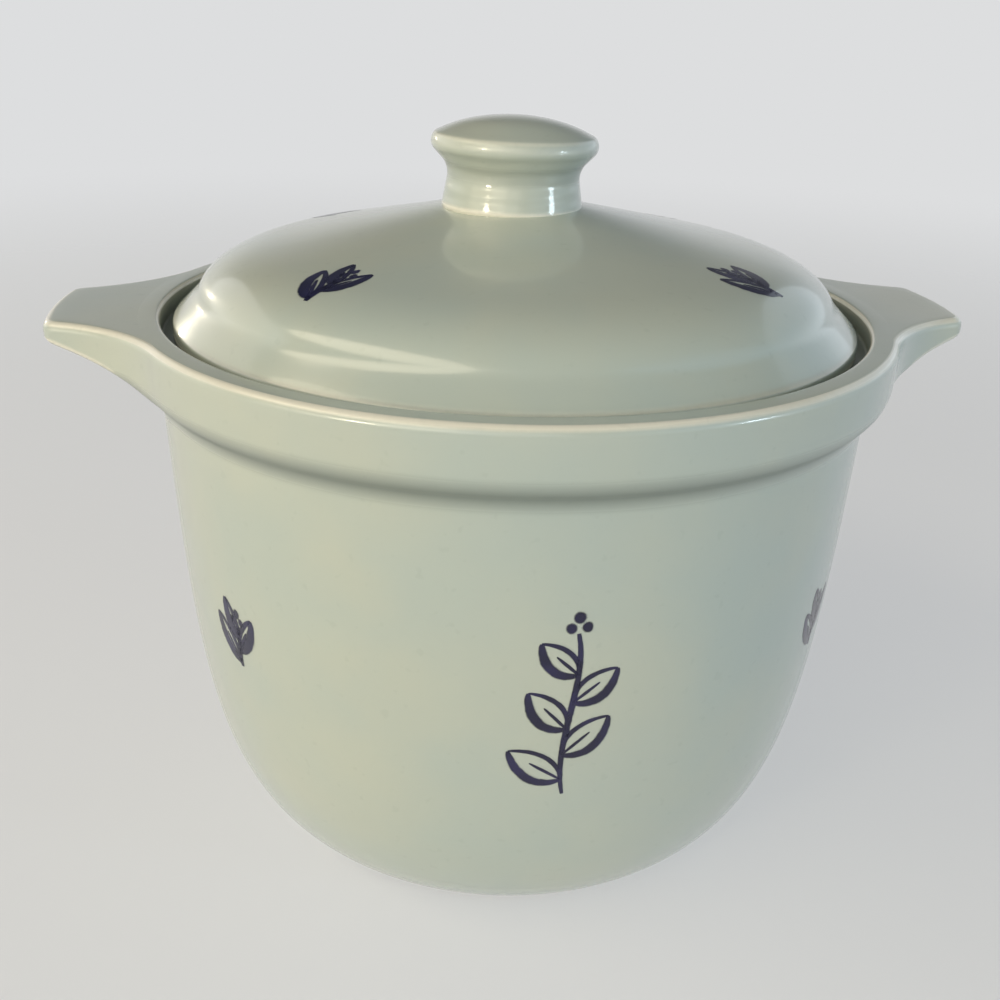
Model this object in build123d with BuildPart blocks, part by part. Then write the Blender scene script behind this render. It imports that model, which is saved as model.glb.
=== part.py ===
from build123d import *
import os

# Stoneware bean pot: a round body on a small foot, two flat lugs on the band
# round its mouth, and a low domed lid with a mushroom knob. Millimetres.
# Z points up, X runs along the lugs, and the origin is the middle of the foot.
# Points in a turned section are (r, z). Sizes not said to be radii or heights
# above the table are measured from the surface that they name.

# ---- pot body -------------------------------------------------------------
rim_z = 130.0
band_r = 88.5
foot_r = 55.06
foot_ring_width = 6.0
foot_recess = 2.0
foot_recess_draft = 1.0

# The outside of the wall is one cubic curve from the foot, then a short
# straight run up to the band. The handles are steps from the curve's ends.
wall_foot_handle = (21.51, 10.98)
wall_top_handle = (-3.07, -64.5)
wall_top_drop = 24.0
wall_straight = 3.8

# The band stands out from the wall and meets it in an S of two arcs.
band_proud = 5.57
band_height = 9.0
band_crown_r = 2.5
band_lip_r = 1.2

# The lid sits in a gallery, on a ledge inside the band.
rim_width = 6.2
gallery_depth = 5.0
ledge_width = 5.7
ledge_drop = 7.0
ledge_edge_r = 0.8

# Inside, a flat floor turns up into a wall that follows the outside.
floor_thickness = 6.0
floor_inset = 11.06
inner_foot_handle = 29.0
waist_thickness = 7.53
waist_rise = 35.0

# ---- lugs -----------------------------------------------------------------
lug_reach = 18.8
lug_tip_half_width = 16.7
lug_tip_bow = 1.5
lug_corner_r = 4.5
lug_root_angle = 25.0
lug_root_bite = 1.0
lug_bed_depth = 2.5
lug_top_drop = 0.4
lug_tip_thickness = 4.6
lug_under_mid = (5.5, -9.0)
lug_under_root = (-6.0, -18.5)
lug_under_margin = 2.0
lug_edge_r = 1.8

# ---- lid ------------------------------------------------------------------
lid_gap = 2.7
lip_height = 3.5
lip_under_r = 1.2
lip_edge_r = 1.6
lip_bevel = 4.4
collar_inset = 6.3
collar_rise = 10.5
collar_handle = (-2.2, 4.5)
shoulder_width = 16.3
shoulder_rise = 8.7
shoulder_handle = 7.0
dome_slope = 0.215
lid_thickness = 5.2
flange_gap = 1.6
flange_width = 5.0
flange_drop = 5.5
flange_edge_r = 1.5
inner_shoulder_rise = 2.5
inner_shoulder_width = 20.0

# ---- knob, with heights above the dome at the knob's foot -----------------
knob_offset = -1.3
knob_lean = 2.2
knob_bed = 1.2
knob_foot_r = 16.2
knob_neck_r = 15.3
knob_flare_r = 5.0
knob_cap_corner = (21.25, 14.2)
knob_cap_edge_r = 3.0
knob_height = 20.0


def step(point, move):
    """The point moved by a step, both as (r, z)."""
    return (point[0] + move[0], point[1] + move[1])


# ---- derived --------------------------------------------------------------
wall_top = (band_r - band_proud, rim_z - wall_top_drop)
band_foot = (band_r, rim_z - band_height)
gallery_r = band_r - rim_width
ledge_z = rim_z - gallery_depth
ledge_r = gallery_r - ledge_width
floor = (foot_r - floor_inset, foot_recess + floor_thickness)
waist = (wall_top[0] - waist_thickness, floor[1] + waist_rise)
recess_r = foot_r - foot_ring_width

lug_tip_x = band_r + lug_reach
lug_top_z = rim_z - lug_top_drop
lug_root_r = band_r - lug_root_bite
lug_bed_r = lug_root_r - lug_bed_depth
under_root = step((band_r, rim_z), lug_under_root)
under_mid = step((band_r, rim_z), lug_under_mid)
under_tip = (lug_tip_x + lug_under_margin, lug_top_z - lug_tip_thickness)
lug_stock_z = under_root[1] - lug_under_margin

lip = (gallery_r - lid_gap, ledge_z + lip_height)
collar = (lip[0] - collar_inset, ledge_z + collar_rise)
dome_edge = step(collar, (-shoulder_width, shoulder_rise))
dome_apex_z = dome_edge[1] + dome_slope * dome_edge[0]
flange_r = ledge_r - flange_gap
flange_z = ledge_z - flange_drop
flange_inner_r = flange_r - flange_width
inner_shoulder = (flange_inner_r, ledge_z + inner_shoulder_rise)
inner_apex_z = dome_apex_z - lid_thickness
inner_dome_r = flange_inner_r - inner_shoulder_width

knob_seat_z = dome_apex_z - dome_slope * knob_foot_r
knob_neck_top = knob_cap_corner[1] - (knob_cap_corner[0] - knob_neck_r)


def inner_dome(radius):
    """The point at this radius on the cone under the lid."""
    return (radius, inner_apex_z - dome_slope * radius)


def round_corner(sketch, point, radius):
    """Round the one corner of the sketch that lies nearest to the point."""
    corner = sketch.vertices().sort_by_distance(point)[0]
    fillet(corner, radius=radius)


# ---- pot body: one turned section -----------------------------------------
with BuildPart() as pot_body:
    with BuildSketch(Plane.XZ) as body_section:
        with BuildLine():
            wall = Bezier(
                (foot_r, 0),
                step((foot_r, 0), wall_foot_handle),
                step(wall_top, wall_top_handle),
                wall_top,
            )
            neck = Line(wall @ 1, wall @ 1 + (wall % 1) * wall_straight)
            sway_mid = (neck @ 1 + Vector(*band_foot)) / 2
            sway_in = TangentArc(neck @ 1, sway_mid, tangent=neck % 1)
            sway_out = TangentArc(sway_mid, band_foot, tangent=sway_in % 1)
            face_run = (sway_out % 1) * (band_height / (sway_out % 1).Y)
            band_face = Line(sway_out @ 1, sway_out @ 1 + face_run)
            rim_top = Line(band_face @ 1, (gallery_r, rim_z))
            gallery_wall = Line(rim_top @ 1, (gallery_r, ledge_z))
            ledge = Line(gallery_wall @ 1, (ledge_r, ledge_z))
            ledge_fall = Line(ledge @ 1, (ledge_r, ledge_z - ledge_drop))
            Bezier(ledge_fall @ 1, waist, step(floor, (inner_foot_handle, 0)), floor)
            Polyline(
                floor,
                (0, floor[1]),
                (0, foot_recess),
                (recess_r - foot_recess_draft, foot_recess),
                (recess_r, 0),
                (foot_r, 0),
            )
        make_face()
        round_corner(body_section, rim_top @ 0, band_crown_r)
        round_corner(body_section, rim_top @ 1, band_lip_r)
        round_corner(body_section, ledge @ 1, ledge_edge_r)
    revolve(axis=Axis.Z)

# ---- lug: a flat plan, hollowed underneath, then fitted to the body --------
with BuildPart() as handle_right:
    with BuildSketch(Plane.XY.offset(lug_stock_z)) as lug_plan:
        with BuildLine():
            root = Vector(lug_root_r, 0).rotate(Axis.Z, lug_root_angle)
            along_band = Vector(0, -1).rotate(Axis.Z, lug_root_angle)
            tip_corner = Vector(lug_tip_x - lug_tip_bow, lug_tip_half_width)
            flank = TangentArc(root, tip_corner, tangent=along_band)
            root_cut = Line(root, root * (lug_bed_r / lug_root_r))
            mirror(flank, about=Plane.XZ)
            mirror(root_cut, about=Plane.XZ)
            far_corner = Vector(tip_corner.X, -tip_corner.Y)
            ThreePointArc(tip_corner, (lug_tip_x, 0), far_corner)
            bed = root_cut @ 1
            ThreePointArc(bed, (lug_bed_r, 0), (bed.X, -bed.Y))
        make_face()
        fillet(lug_plan.vertices().sort_by(Axis.X)[-2:], radius=lug_corner_r)
    extrude(amount=lug_top_z - lug_stock_z)
    # Turned from the far side, so that the turned face has no seam in the lug.
    with BuildSketch(Plane.XZ.rotated((0, 0, 180))):
        with BuildLine():
            ThreePointArc(under_root, under_mid, under_tip)
            Polyline(
                under_tip,
                (under_tip[0], lug_stock_z),
                (under_root[0], lug_stock_z),
                under_root,
            )
        make_face()
    revolve(axis=Axis.Z, mode=Mode.SUBTRACT)
    proud = handle_right.edges().filter_by(lambda edge: (edge @ 0.5).X > lug_root_r)
    fillet(proud.filter_by(Axis.Z, reverse=True), radius=lug_edge_r)
    add(pot_body.part, mode=Mode.SUBTRACT)

with BuildPart() as handle_left:
    mirror(handle_right.part, about=Plane.YZ)

# ---- lid: one turned section ----------------------------------------------
with BuildPart() as lid:
    with BuildSketch(Plane.XZ) as lid_section:
        with BuildLine():
            cone = Line((0, dome_apex_z), dome_edge)
            shoulder = Bezier(
                dome_edge,
                dome_edge + (cone % 1) * shoulder_handle,
                step(collar, collar_handle),
                collar,
            )
            bevel_top = step(lip, (-lip_bevel, lip_bevel))
            TangentArc(collar, bevel_top, tangent=shoulder % 1)
            bevel = Line(bevel_top, lip)
            lip_side = Line(bevel @ 1, (lip[0], ledge_z))
            seat = Line(lip_side @ 1, (flange_r, ledge_z))
            flange_side = Line(seat @ 1, (flange_r, flange_z))
            flange_foot = Line(flange_side @ 1, (flange_inner_r, flange_z))
            Line(flange_foot @ 1, inner_shoulder)
            Bezier(inner_shoulder, inner_dome(flange_inner_r), inner_dome(inner_dome_r))
            Polyline(inner_dome(inner_dome_r), inner_dome(0), cone @ 0)
        make_face()
        round_corner(lid_section, lip_side @ 0, lip_edge_r)
        round_corner(lid_section, lip_side @ 1, lip_under_r)
        round_corner(lid_section, flange_foot @ 0, flange_edge_r)
        round_corner(lid_section, flange_foot @ 1, flange_edge_r)
    revolve(axis=Axis.Z)

# ---- knob: turned on a leaning axis, bedded on the dome -------------------
knob_place = Location((knob_offset, 0, knob_seat_z), (0, knob_lean, 0))
with BuildPart() as knob:
    with BuildSketch(Plane(knob_place) * Plane.XZ) as knob_section:
        with BuildLine():
            crown = TangentArc((0, knob_height), knob_cap_corner, tangent=(1, 0))
            flare = Line(crown @ 1, (knob_neck_r, knob_neck_top))
            neck_side = TangentArc(flare @ 1, (knob_foot_r, 0), tangent=(0, -1))
            Polyline(
                neck_side @ 1,
                (knob_foot_r, -knob_bed),
                (0, -knob_bed),
                crown @ 0,
            )
        make_face()
        round_corner(knob_section, crown @ 1, knob_cap_edge_r)
        round_corner(knob_section, flare @ 1, knob_flare_r)
    revolve(axis=Axis.Z.located(knob_place))
    add(lid.part, mode=Mode.SUBTRACT)

os.makedirs("parts", exist_ok=True)
pieces = {
    "pot_body": pot_body,
    "handle_left": handle_left,
    "handle_right": handle_right,
    "lid": lid,
    "knob": knob,
}
for name, piece in pieces.items():
    piece.part.label = name
    export_step(piece.part, f"parts/{name}.step")
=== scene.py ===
"""Dresses the stoneware bean pot: glazed forms, brushwork, studio and camera."""

import logging
import math
from dataclasses import dataclass
from enum import Enum
from typing import Any, Callable, Iterable, Sequence

import bpy
import numpy as np
from mathutils import Matrix, Vector


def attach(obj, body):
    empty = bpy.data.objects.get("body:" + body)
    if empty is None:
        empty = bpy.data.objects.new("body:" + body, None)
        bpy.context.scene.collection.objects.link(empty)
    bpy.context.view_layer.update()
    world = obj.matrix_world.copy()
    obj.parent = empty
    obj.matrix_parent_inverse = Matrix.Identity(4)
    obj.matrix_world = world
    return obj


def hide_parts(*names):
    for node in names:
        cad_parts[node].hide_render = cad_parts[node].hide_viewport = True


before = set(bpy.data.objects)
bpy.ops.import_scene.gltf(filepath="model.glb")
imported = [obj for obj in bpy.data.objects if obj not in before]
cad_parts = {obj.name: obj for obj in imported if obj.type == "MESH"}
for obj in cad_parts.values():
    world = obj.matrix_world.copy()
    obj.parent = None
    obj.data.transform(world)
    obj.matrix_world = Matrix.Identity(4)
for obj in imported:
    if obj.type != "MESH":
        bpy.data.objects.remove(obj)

MM = 0.001
Point = tuple[float, float]
Colour = tuple[float, float, float]
Rgba = tuple[float, float, float, float]
log = logging.getLogger("bean_pot")

# How finely outlines are traced, in millimetres.
ARC_DEGREES = 5
ARC_STEP = 0.2
CURVE_STEP = 2.0
LONGEST_STEP = 2.8
SAME_PLACE = 0.02
NO_LENGTH = 1e-6
CUT_REACH = 2.5
CUT_SINE = 0.35

# Along an outline, in millimetres: where glaze wears thin, with a painted highlight shifted up the
# outline, and where it pools, with painted shade.
WEAR_WINDOW = 1.6
WEAR_AND_HIGHLIGHT_SHIFT = 0.5
RECESS_SHADE = 0.85

# The turn in radians at which thin glaze with its painted highlight begins, the turn at which pooled
# glaze with painted shade begins, and the overhang at which painted shade begins, each with how far
# past that the effect is full.
THIN_AND_HIGHLIGHT_TURN = (0.5, 0.3)
POOL_AND_SHADE_TURN = (0.2, 0.4)
OVERHANG_SHADE = (0.15, 0.55)

# The steps round a turned form, and how near its seam's points are when they merge.
AROUND = 300
SEAM = 0.002


def linear(*levels: int) -> Rgba:
    """Turn a display colour's red, green and blue, up to 255, into the linear ones of shaders."""
    parts = (c / 255 for c in levels)
    return (*((c / 12.92) if c <= 0.04045 else ((c + 0.055) / 1.055) ** 2.4 for c in parts), 1.0)


def smooth(value: float, low: float, high: float) -> float:
    """Ease from 0 at the low value to 1 at the high one, with level ends."""
    t = min(max((value - low) / (high - low), 0.0), 1.0)
    return t * t * (3 - 2 * t)


def grow(values: np.ndarray, start: float, span: float) -> np.ndarray:
    """Grow from 0 at the start to 1 a span past it."""
    return np.clip((values - start) / span, 0, 1)


def toward(azimuth: float, elevation: float) -> Vector:
    """The direction at an azimuth and an elevation in degrees."""
    around, up = math.radians(azimuth), math.radians(elevation)
    return Vector((math.cos(up) * math.cos(around), math.cos(up) * math.sin(around), math.sin(up)))


def neighbours(count: int) -> list[tuple[int, int]]:
    """Each number below a count with the next one, and the last with 0."""
    return [(j, (j + 1) % count) for j in range(count)]


# ---- node graphs ------------------------------------------------------------


def arithmetic(operation: str, reflected: bool = False) -> Callable[["Wire", Any], "Wire"]:
    """Make an operator's method.

    Args:
        operation: The Math node's operation.
        reflected: Whether the wire stands to the right of the operator.

    Returns:
        The method, which takes a wire with a number or another wire.
    """

    def method(wire: "Wire", other: Any) -> "Wire":
        """Add a Math node on the wire and the other value, in the order they are written."""
        return wire.graph.maths(operation, *((other, wire) if reflected else (wire, other)))

    return method


class Wire:
    """One output socket, on which Python's arithmetic adds Math nodes."""

    __add__ = __radd__ = arithmetic("ADD")
    __sub__ = arithmetic("SUBTRACT")
    __rsub__ = arithmetic("SUBTRACT", reflected=True)
    __mul__ = __rmul__ = arithmetic("MULTIPLY")
    __truediv__ = arithmetic("DIVIDE")
    __pow__ = arithmetic("POWER")

    def __init__(self, graph: "Graph", socket: bpy.types.NodeSocket) -> None:
        """Keep the socket and the graph it belongs to."""
        self.graph = graph
        self.socket = socket

    def __abs__(self) -> "Wire":
        """Drop the sign."""
        return self.graph.maths("ABSOLUTE", self)

    def sine(self) -> "Wire":
        """The sine of an angle in radians."""
        return self.graph.maths("SINE", self)

    def cosine(self) -> "Wire":
        """The cosine of an angle in radians."""
        return self.graph.maths("COSINE", self)

    def clamped(self) -> "Wire":
        """Hold the value from 0 to 1."""
        return self.graph.maths("ADD", self, 0.0, clamp=True)

    def fade(self, low: float, high: float) -> "Wire":
        """Ease from 0 at the low value to 1 at the high one."""
        settings = {"interpolation_type": "SMOOTHSTEP"}
        return self.graph.wire("ShaderNodeMapRange", settings, {0: self, 1: low, 2: high})


class Graph:
    """A node tree to which nodes are added one call at a time."""

    def __init__(self, tree: bpy.types.NodeTree) -> None:
        """Keep the tree."""
        self.tree = tree

    def node(
        self,
        kind: str,
        settings: dict[str, Any] | None = None,
        sockets: dict[int | str, Any] | None = None,
    ) -> bpy.types.Node:
        """Add one node.

        Args:
            kind: The node's type.
            settings: Properties set first.
            sockets: Values, wires or lists of wires, by input number or name.

        Returns:
            The new node.
        """
        node = self.tree.nodes.new(kind)
        for name, value in (settings or {}).items():
            setattr(node, name, value)
        for key, value in (sockets or {}).items():
            for item in value if isinstance(value, list) else [value]:
                if isinstance(item, Wire):
                    self.tree.links.new(item.socket, node.inputs[key])
                else:
                    node.inputs[key].default_value = item
        return node

    def wire(
        self,
        kind: str,
        settings: dict[str, Any] | None = None,
        sockets: dict[int | str, Any] | None = None,
        output: int | str = 0,
    ) -> Wire:
        """Add one node and take one of its outputs, by number or name."""
        return Wire(self, self.node(kind, settings, sockets).outputs[output])

    def maths(self, operation: str, *values: Any, clamp: bool = False) -> Wire:
        """Add one Math node on numbers or wires, whose result may be held from 0 to 1."""
        settings = {"operation": operation, "use_clamp": clamp}
        return self.wire("ShaderNodeMath", settings, dict(enumerate(values)))

    def vector(self, operation: str, *values: Any, output: int = 0) -> Wire:
        """Add one Vector Math node and take its vector, or its number as output 1."""
        sockets = dict(enumerate(values))
        return self.wire("ShaderNodeVectorMath", {"operation": operation}, sockets, output)

    def combine(self, x: Any = 0.0, y: Any = 0.0, z: Any = 0.0) -> Wire:
        """Make a vector of three numbers or wires."""
        return self.wire("ShaderNodeCombineXYZ", None, {0: x, 1: y, 2: z})

    def split(self, vector: Wire) -> list[Wire]:
        """Take a vector apart into its three numbers."""
        parts = self.node("ShaderNodeSeparateXYZ", None, {0: vector})
        return [Wire(self, output) for output in parts.outputs]

    def mix(self, share: Any, first: Any, second: Any) -> Wire:
        """Mix two colours, where a share of 1 shows the second alone."""
        sockets = {0: share, 6: first, 7: second}
        return self.wire("ShaderNodeMix", {"data_type": "RGBA"}, sockets, 2)

    def blend(self, share: Wire, first: Wire, second: Wire) -> Wire:
        """Mix two shaders, where a share of 1 shows the second alone."""
        return self.wire("ShaderNodeMixShader", None, {0: share, 1: first, 2: second})

    def looked_at(self) -> Wire:
        """1 for a ray that looks, mirrors or passes through glass, and 0 for one that lights.

        Returns:
            The sum of the three kinds of ray that look, as a wire.
        """
        path = self.node("ShaderNodeLightPath")
        names = ("Is Camera Ray", "Is Glossy Ray", "Is Transmission Ray")
        camera, glossy, through = (Wire(self, path.outputs[name]) for name in names)
        return (camera + glossy + through).clamped()


class Coating(Graph):
    """A material's nodes, which read the piece's own place and what its mesh carries."""

    def __init__(self, name: str) -> None:
        """Make the material, empty but for its coordinates.

        Args:
            name: The material's name.
        """
        self.made = bpy.data.materials.new(name)
        self.made.use_nodes = True
        self.made.node_tree.nodes.clear()
        super().__init__(self.made.node_tree)
        self.place = self.wire("ShaderNodeTexCoord", output="Object")

    def carried(self, label: str) -> Wire:
        """Read a number that the mesh carries under a name."""
        return self.wire("ShaderNodeAttribute", {"attribute_name": label}, output="Fac")

    def noise(self, scale: float, layers: float) -> Wire:
        """Add noise about 0.5, with waves for each metre and a number of finer layers."""
        sockets = {"Vector": self.place, "Scale": scale, "Detail": layers}
        return self.wire("ShaderNodeTexNoise", None, sockets)

    def principled(self, sockets: dict[int | str, Any]) -> Wire:
        """Add the shader of a solid surface with the given inputs."""
        return self.wire("ShaderNodeBsdfPrincipled", None, sockets)

    def finish(self, shader: Wire) -> bpy.types.Material:
        """End the nodes in a shader and give the material."""
        self.node("ShaderNodeOutputMaterial", None, {0: shader})
        return self.made


class ShapeTree(Graph):
    """A Geometry Nodes tree with named inputs."""

    TYPES = {
        int: "NodeSocketInt",
        float: "NodeSocketFloat",
        bpy.types.Material: "NodeSocketMaterial",
        bpy.types.Object: "NodeSocketObject",
    }

    def __init__(self, name: str, inputs: dict[str, Any]) -> None:
        """Make the tree and its inputs.

        Args:
            name: The tree's name.
            inputs: Each input's name and value; the value's type gives the socket's type.
        """
        super().__init__(bpy.data.node_groups.new(name, "GeometryNodeTree"))
        face = self.tree.interface
        face.new_socket("Geometry", in_out="INPUT", socket_type="NodeSocketGeometry")
        face.new_socket("Geometry", in_out="OUTPUT", socket_type="NodeSocketGeometry")
        self.values = inputs
        self.keys: dict[str, str] = {}
        for label, value in inputs.items():
            kind = self.TYPES[type(value)]
            socket = face.new_socket(label, in_out="INPUT", socket_type=kind)
            self.keys[label] = socket.identifier
        self.source = self.node("NodeGroupInput")

    def given(self, label: str) -> Wire:
        """The named input as a wire."""
        return Wire(self, self.source.outputs[label])

    def whole(self, operation: str, first: Wire, second: Any) -> Wire:
        """Work on two whole numbers."""
        return self.wire("FunctionNodeIntegerMath", {"operation": operation}, {0: first, 1: second})

    def store(self, shape: Wire, label: str, value: Wire) -> Wire:
        """Keep a number for each point of a shape under a name.

        Args:
            shape: The shape.
            label: The name.
            value: The number at each point.

        Returns:
            The shape with its numbers.
        """
        settings = {"data_type": "FLOAT", "domain": "POINT"}
        sockets = {0: shape, "Name": label, "Value": value}
        return self.wire("GeometryNodeStoreNamedAttribute", settings, sockets)

    def stored(self, label: str) -> Wire:
        """Read the number that is kept under a name."""
        return self.wire("GeometryNodeInputNamedAttribute", {"data_type": "FLOAT"}, {"Name": label})

    def sample(self, kind: str, shape: Wire, value: Wire, index: Wire) -> Wire:
        """Read a value of the given kind at one numbered point of a shape."""
        sockets = {0: shape, 1: value, 2: index}
        return self.wire("GeometryNodeSampleIndex", {"data_type": kind}, sockets)

    def line(self, first: Wire, second: Wire, end: Wire) -> Wire:
        """Draw a cubic curve from the origin by its two handles and its end."""
        sockets = {"Start": (0.0, 0.0, 0.0), "Start Handle": first, "End Handle": second, "End": end}
        return self.wire("GeometryNodeCurvePrimitiveBezierSegment", {"mode": "POSITION"}, sockets)

    def moved(self, shape: Wire, place: Wire) -> Wire:
        """Put a shape's points at new places."""
        return self.wire("GeometryNodeSetPosition", None, {0: shape, "Position": place})

    def smoothed(self, shape: Wire) -> Wire:
        """Shade a shape smooth."""
        return self.wire("GeometryNodeSetShadeSmooth", None, {0: shape})

    def realized(self, shape: Wire) -> Wire:
        """Turn a shape's instances into plain geometry."""
        return self.wire("GeometryNodeRealizeInstances", None, {0: shape})

    def join(self, parts: list[Wire]) -> Wire:
        """Join shapes into one."""
        return self.wire("GeometryNodeJoinGeometry", None, {0: parts})

    def finish(self, shape: Wire, material: str) -> None:
        """End the tree in Realize Instances and Set Material, which reads the named input."""
        sockets = {0: self.realized(shape), "Material": self.given(material)}
        self.node("NodeGroupOutput", None, {0: self.wire("GeometryNodeSetMaterial", None, sockets)})

    def run(self, name: str, seed_mesh: bpy.types.Mesh | None = None) -> bpy.types.Object:
        """Run the tree on an object and keep the result as a plain mesh.

        Args:
            name: The finished object's name.
            seed_mesh: The mesh that the tree starts from, if any.

        Returns:
            The finished object, with no modifier left.
        """
        worker = link_object(f"{name}_work", seed_mesh or bpy.data.meshes.new(f"{name}_start"))
        modifier = worker.modifiers.new(self.tree.name, "NODES")
        modifier.node_group = self.tree
        for label, value in self.values.items():
            modifier[self.keys[label]] = value
        graph = bpy.context.evaluated_depsgraph_get()
        graph.update()
        mesh = bpy.data.meshes.new_from_object(worker.evaluated_get(graph), depsgraph=graph)
        worker.modifiers.remove(modifier)
        bpy.data.objects.remove(worker)
        mesh.name = name
        return link_object(name, mesh)


def link_object(name: str, data: bpy.types.ID) -> bpy.types.Object:
    """Put a mesh, a lamp or a camera in the scene as an object at the origin.

    Args:
        name: The object's name.
        data: What it shows.

    Returns:
        The new object.
    """
    made = bpy.data.objects.new(name, data)
    bpy.context.scene.collection.objects.link(made)
    return made


def carry(mesh: bpy.types.Mesh, **values: np.ndarray) -> None:
    """Let a mesh carry numbers for its vertices.

    Args:
        mesh: The mesh.
        values: One number for each vertex, under each name.
    """
    for label, numbers in values.items():
        attribute = mesh.attributes.new(label, "FLOAT", "POINT")
        attribute.data.foreach_set("value", np.asarray(numbers, np.float32))


# ---- outlines ---------------------------------------------------------------


@dataclass(frozen=True)
class Corner:
    """A corner of an outline, with its place and its rounding in millimetres."""

    r: float
    z: float
    radius: float = 0.0


@dataclass(frozen=True)
class Curve:
    """A cubic curve to the next corner, by its two handles in millimetres."""

    first: Point
    second: Point


def cubic(a: Point, b: Point, c: Point, d: Point, steps: int) -> list[np.ndarray]:
    """Sample a cubic curve.

    Args:
        a: The start.
        b: The handle at the start.
        c: The handle at the end.
        d: The end.
        steps: How many steps to take.

    Returns:
        The points along the curve, with both ends.
    """
    pa, pb, pc, pd = (np.array(p, float) for p in (a, b, c, d))
    return [
        (1 - t) ** 3 * pa + 3 * (1 - t) ** 2 * t * pb + 3 * (1 - t) * t * t * pc + t**3 * pd
        for t in np.linspace(0, 1, steps + 1)
    ]


def corner_arc(
    before: np.ndarray, corner: np.ndarray, after: np.ndarray, radius: float, steps: int = 0
) -> np.ndarray:
    """Find the arc that rounds a corner and touches both of its sides.

    Args:
        before: A point on the side that comes in.
        corner: The corner.
        after: A point on the side that goes out.
        radius: The arc's radius.
        steps: How many steps the arc has; 0 leaves it to the turn's size.

    Returns:
        Points along the arc, or the corner alone where it has no turn or radius.
    """
    inward = (corner - before) / np.linalg.norm(corner - before)
    outward = (after - corner) / np.linalg.norm(after - corner)
    turn = math.atan2(inward[0] * outward[1] - inward[1] * outward[0], float(inward @ outward))
    if not steps and (abs(turn) < 1e-4 or radius <= 0):
        return corner[None, :]
    start = corner - inward * radius * math.tan(abs(turn) / 2)
    centre = start + math.copysign(radius, turn) * np.array((-inward[1], inward[0]))
    x, y = start - centre
    finest = min(math.degrees(abs(turn)) / ARC_DEGREES, radius * abs(turn) / ARC_STEP)
    spins = turn * np.linspace(0, 1, (steps or max(3, math.ceil(finest))) + 1)
    cosine, sine = np.cos(spins), np.sin(spins)
    return centre + np.column_stack((x * cosine - y * sine, x * sine + y * cosine))


class Outline:
    """A turned section: corners, some rounded, joined by straight runs and curves."""

    def __init__(self, *parts: Corner | Curve) -> None:
        """Trace the section.

        Args:
            parts: Corners in order with the solid on the left, and curves between them.
        """
        corners = [p for p in parts if isinstance(p, Corner)]
        runs: list[list[np.ndarray]] = []
        bend: Curve | None = None
        last: Corner | None = None
        for part in parts:
            if isinstance(part, Curve):
                bend = part
                continue
            if last is not None:
                start, end = (last.r, last.z), (part.r, part.z)
                if bend is None:
                    runs.append([np.array(start), np.array(end)])
                else:
                    steps = max(6, round(math.dist(start, end) / CURVE_STEP))
                    runs.append(cubic(start, bend.first, bend.second, end, steps))
            last, bend = part, None
        traced = [runs[0][0][None, :]]
        for run, following, corner in zip(runs, runs[1:], corners[1:]):
            traced.append(np.array(run[1:-1]).reshape(-1, 2))
            traced.append(corner_arc(run[-2], run[-1], following[1], corner.radius))
        traced.append(np.array(runs[-1][1:]))
        self.points = self._even(self._in_order(np.vstack(traced)))
        self.thin, self.pool = wear_and_painted_light(self.points)

    @staticmethod
    def _in_order(points: np.ndarray) -> np.ndarray:
        """Drop points that step backwards where an arc has cut into a curve.

        Args:
            points: The traced points.

        Returns:
            Points that always go forwards.
        """
        kept = [points[0]]
        for index, point in enumerate(points[1:], 1):
            here = point - kept[-1]
            ahead = points[min(index + 1, len(points) - 1)] - point
            length = np.linalg.norm(here)
            if length < SAME_PLACE:
                continue
            if len(kept) > 1 and float(here @ ahead) < 0 and length < CUT_REACH:
                turn = abs(here[0] * ahead[1] - here[1] * ahead[0])
                if turn < CUT_SINE * length * np.linalg.norm(ahead):
                    continue
            kept.append(point)
        return np.array(kept)

    @staticmethod
    def _even(points: np.ndarray) -> np.ndarray:
        """Split long runs so that no step is over the longest one.

        Args:
            points: The points in order.

        Returns:
            The points with the extra ones.
        """
        out = [points[0]]
        for a, b in zip(points, points[1:]):
            pieces = max(1, math.ceil(np.linalg.norm(b - a) / LONGEST_STEP))
            out.extend(a + (b - a) * (k / pieces) for k in range(1, pieces + 1))
        return np.array(out)

    def shade_overhangs(self, level: float) -> None:
        """Paint shade on the overhangs above a height, where the surface faces down."""
        self.pool = np.maximum(self.pool, overhang(self.points) * (self.points[:, 1] > level))

    def shade_recess(self, within: float, low: float, high: float) -> None:
        """Paint shade in a recess.

        Args:
            within: The recess's greatest radius in millimetres.
            low: Its lowest height.
            high: Its highest height.
        """
        r, z = self.points[:, 0], self.points[:, 1]
        inside = (r < within) & (z > low) & (z < high)
        self.pool = np.maximum(self.pool, inside * RECESS_SHADE)

    def cover(self, level: float) -> None:
        """Clear the thin-glaze colour, and the painted highlight with it, above a height."""
        self.thin[self.points[:, 1] > level] = 0.0

    def mesh(self, name: str) -> bpy.types.Mesh:
        """The section as a row of vertices, with its thin glaze and painted highlight, and its pooled
        glaze and painted shade.

        Args:
            name: The mesh's name.

        Returns:
            A mesh of loose vertices in metres.
        """
        mesh = bpy.data.meshes.new(name)
        mesh.from_pydata([(r * MM, 0, z * MM) for r, z in self.points], [], [])
        carry(mesh, thin=self.thin, pool=self.pool)
        return mesh


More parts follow.
